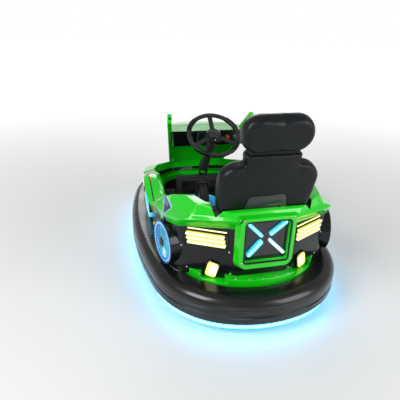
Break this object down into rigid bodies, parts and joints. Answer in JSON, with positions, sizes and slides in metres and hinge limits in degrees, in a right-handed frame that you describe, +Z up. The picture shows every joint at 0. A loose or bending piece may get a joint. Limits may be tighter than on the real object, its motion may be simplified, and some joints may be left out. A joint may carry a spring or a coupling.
{
  "type": "drift kart",
  "caption": "Battery drift kart for a smooth indoor floor: shell body with lamps inside a thick rubber bumper ring, high-back seat, one steered drive wheel in front.",
  "frame": {"origin": "on the floor under the middle of the bumper ring", "axes": "+Y forward, +X to the right of the driver, +Z up"},
  "size_m": [1.125, 1.84, 1.0577],
  "materials": {
    "body_green": "gloss",
    "black_gloss": "gloss",
    "black_rubber": "gloss",
    "tyre": "matt",
    "black_steel": "satin",
    "seat_vinyl": "gloss",
    "rim_plastic": "matt",
    "motor_hub": "satin",
    "mat_rubber": "matt",
    "battery_case": "matt",
    "light_cyan": "lit",
    "light_warm": "lit",
    "light_red": "lit"
  },
  "bodies": {
    "chassis": {"bumper_ring": "black_rubber", "bumper_band": "black_steel", "underglow_strip": "light_cyan", "floor_pan": "black_steel", "frame": "black_steel", "steering_bridge": "black_steel", "battery_box": "battery_case", "body_belt": "body_green", "rear_panel": "black_gloss", "rear_deck": "body_green", "side_pod_right": "body_green", "side_pod_left": "body_green", "nose_body": "body_green", "front_cowl": "body_green", "cowl_struts": "body_green", "dash_panel": "black_gloss", "lamp_pod": "body_green", "lamp_well": "black_gloss", "cross_lamp": "light_cyan", "tail_lamps": "light_warm", "fog_lamps": "light_warm", "ring_housings": "black_gloss", "ring_lamps": "light_cyan", "pill_lamps": "light_cyan", "pill_centres": "light_cyan", "side_lamps": "light_warm", "front_side_lamps": "light_warm", "headlamps": "light_warm", "nose_lamps": "light_red", "seat_shell": "seat_vinyl", "seat_back": "seat_vinyl", "seat_cushion": "seat_vinyl", "headrest": "seat_vinyl", "steering_column": "black_steel", "rear_knuckles": "black_steel", "floor_mat": "mat_rubber", "pedals": "black_steel"},
    "hand_wheel": {"steering_wheel": "black_gloss"},
    "fork": {"steer_fork": "black_steel"},
    "front_wheel": {"front_hub": "motor_hub", "front_tyre": "tyre"},
    "rear_wheel_right": {"rear_rim_right": "rim_plastic", "rear_tyre_right": "tyre"},
    "rear_wheel_left": {"rear_rim_left": "rim_plastic", "rear_tyre_left": "tyre"}
  },
  "joints": [
    {"name": "steering", "type": "hinge", "parent": "chassis", "child": "hand_wheel", "pos_m": [0, 0.215, 0.69], "axis": [0, -0.6, 0.8], "range_deg": [-120, 120]},
    {"name": "fork_steer", "type": "hinge", "parent": "chassis", "child": "fork", "pos_m": [0, 0.5, 0.264], "axis": [0, 0, 1], "range_deg": [-60, 60]},
    {"name": "front_spin", "type": "hinge", "parent": "fork", "child": "front_wheel", "pos_m": [0, 0.5, 0.12], "axis": [1, 0, 0], "continuous": true},
    {"name": "rear_spin_right", "type": "hinge", "parent": "chassis", "child": "rear_wheel_right", "pos_m": [0.33, -0.42, 0.1], "axis": [1, 0, 0], "continuous": true},
    {"name": "rear_spin_left", "type": "hinge", "parent": "chassis", "child": "rear_wheel_left", "pos_m": [-0.33, -0.42, 0.1], "axis": [1, 0, 0], "continuous": true}
  ],
  "couplings": [
    {"joint": "fork_steer", "follows": "steering", "ratio": 0.5}
  ]
}
